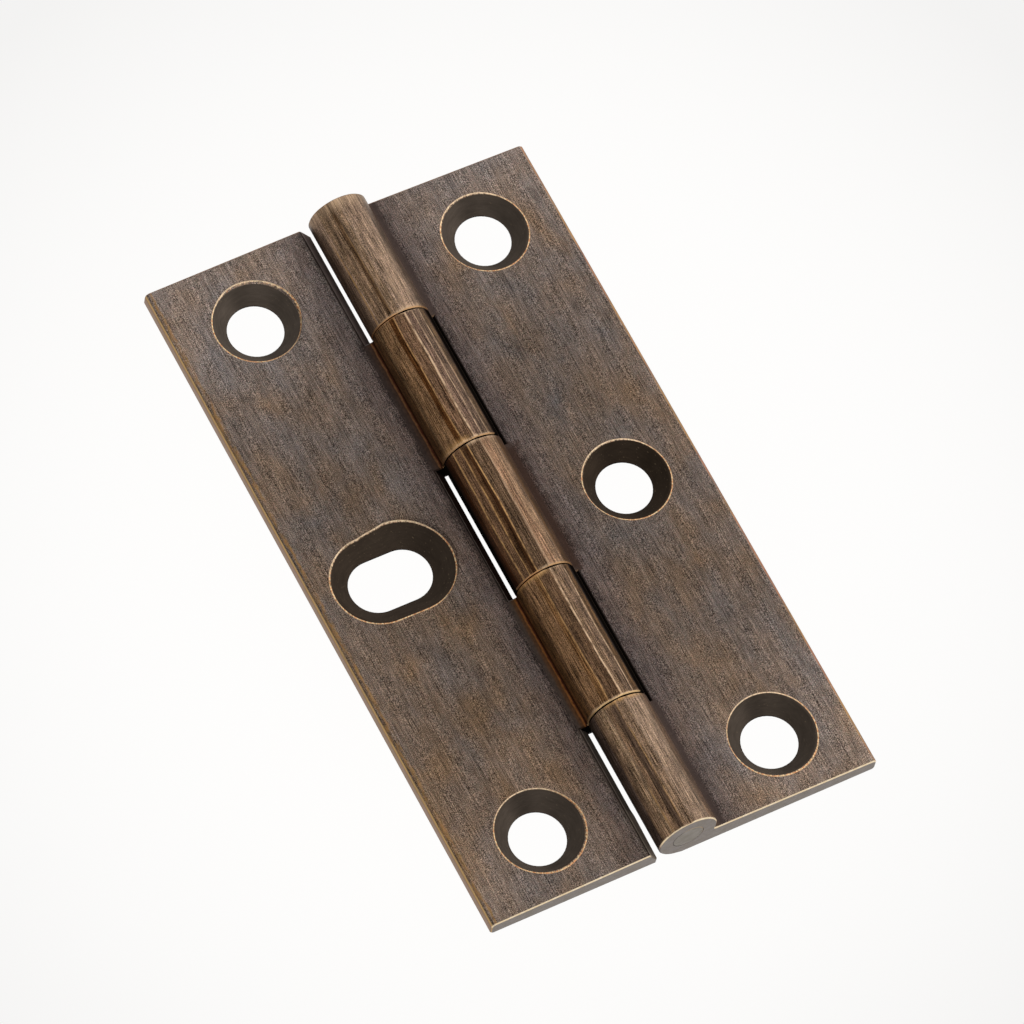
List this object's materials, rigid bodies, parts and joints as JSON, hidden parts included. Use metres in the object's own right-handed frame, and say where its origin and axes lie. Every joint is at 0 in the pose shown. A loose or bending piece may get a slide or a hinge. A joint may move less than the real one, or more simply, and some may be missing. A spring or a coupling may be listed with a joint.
{
  "type": "butt hinge",
  "caption": "Narrow solid-drawn butt hinge lying open: flat leaves with countersunk screw holes, one of them slotted, turning on a fixed pin through an interleaved barrel.",
  "frame": {"origin": "on the flat back plane, midway between the leaves' outer edges and midway along the pin; the pin's axis stands 3.3 mm above it", "axes": "+X from the leaf with two knuckles to the leaf with three, +Y along the pin, +Z out of the back plane towards the barrel; the leaves lie open in one plane"},
  "size_m": [0.043, 0.0762, 0.0065],
  "materials": {
    "leaf_bronzed_brass": "antique bronze over brass, brushed along the pin, rubbed back to bright brass on the edges",
    "pin_bronzed": "antique bronze on the ground ends"
  },
  "bodies": {
    "fixed_leaf": {"three_knuckle_leaf": "leaf_bronzed_brass", "hinge_pin": "pin_bronzed"},
    "swinging_leaf": {"two_knuckle_leaf": "leaf_bronzed_brass"}
  },
  "joints": [
    {"name": "leaf_swing", "type": "hinge", "parent": "fixed_leaf", "child": "swinging_leaf", "pos_m": [0, 0, 0.0033], "axis": [0, 1, 0], "range_deg": [-77, 187.5]}
  ]
}
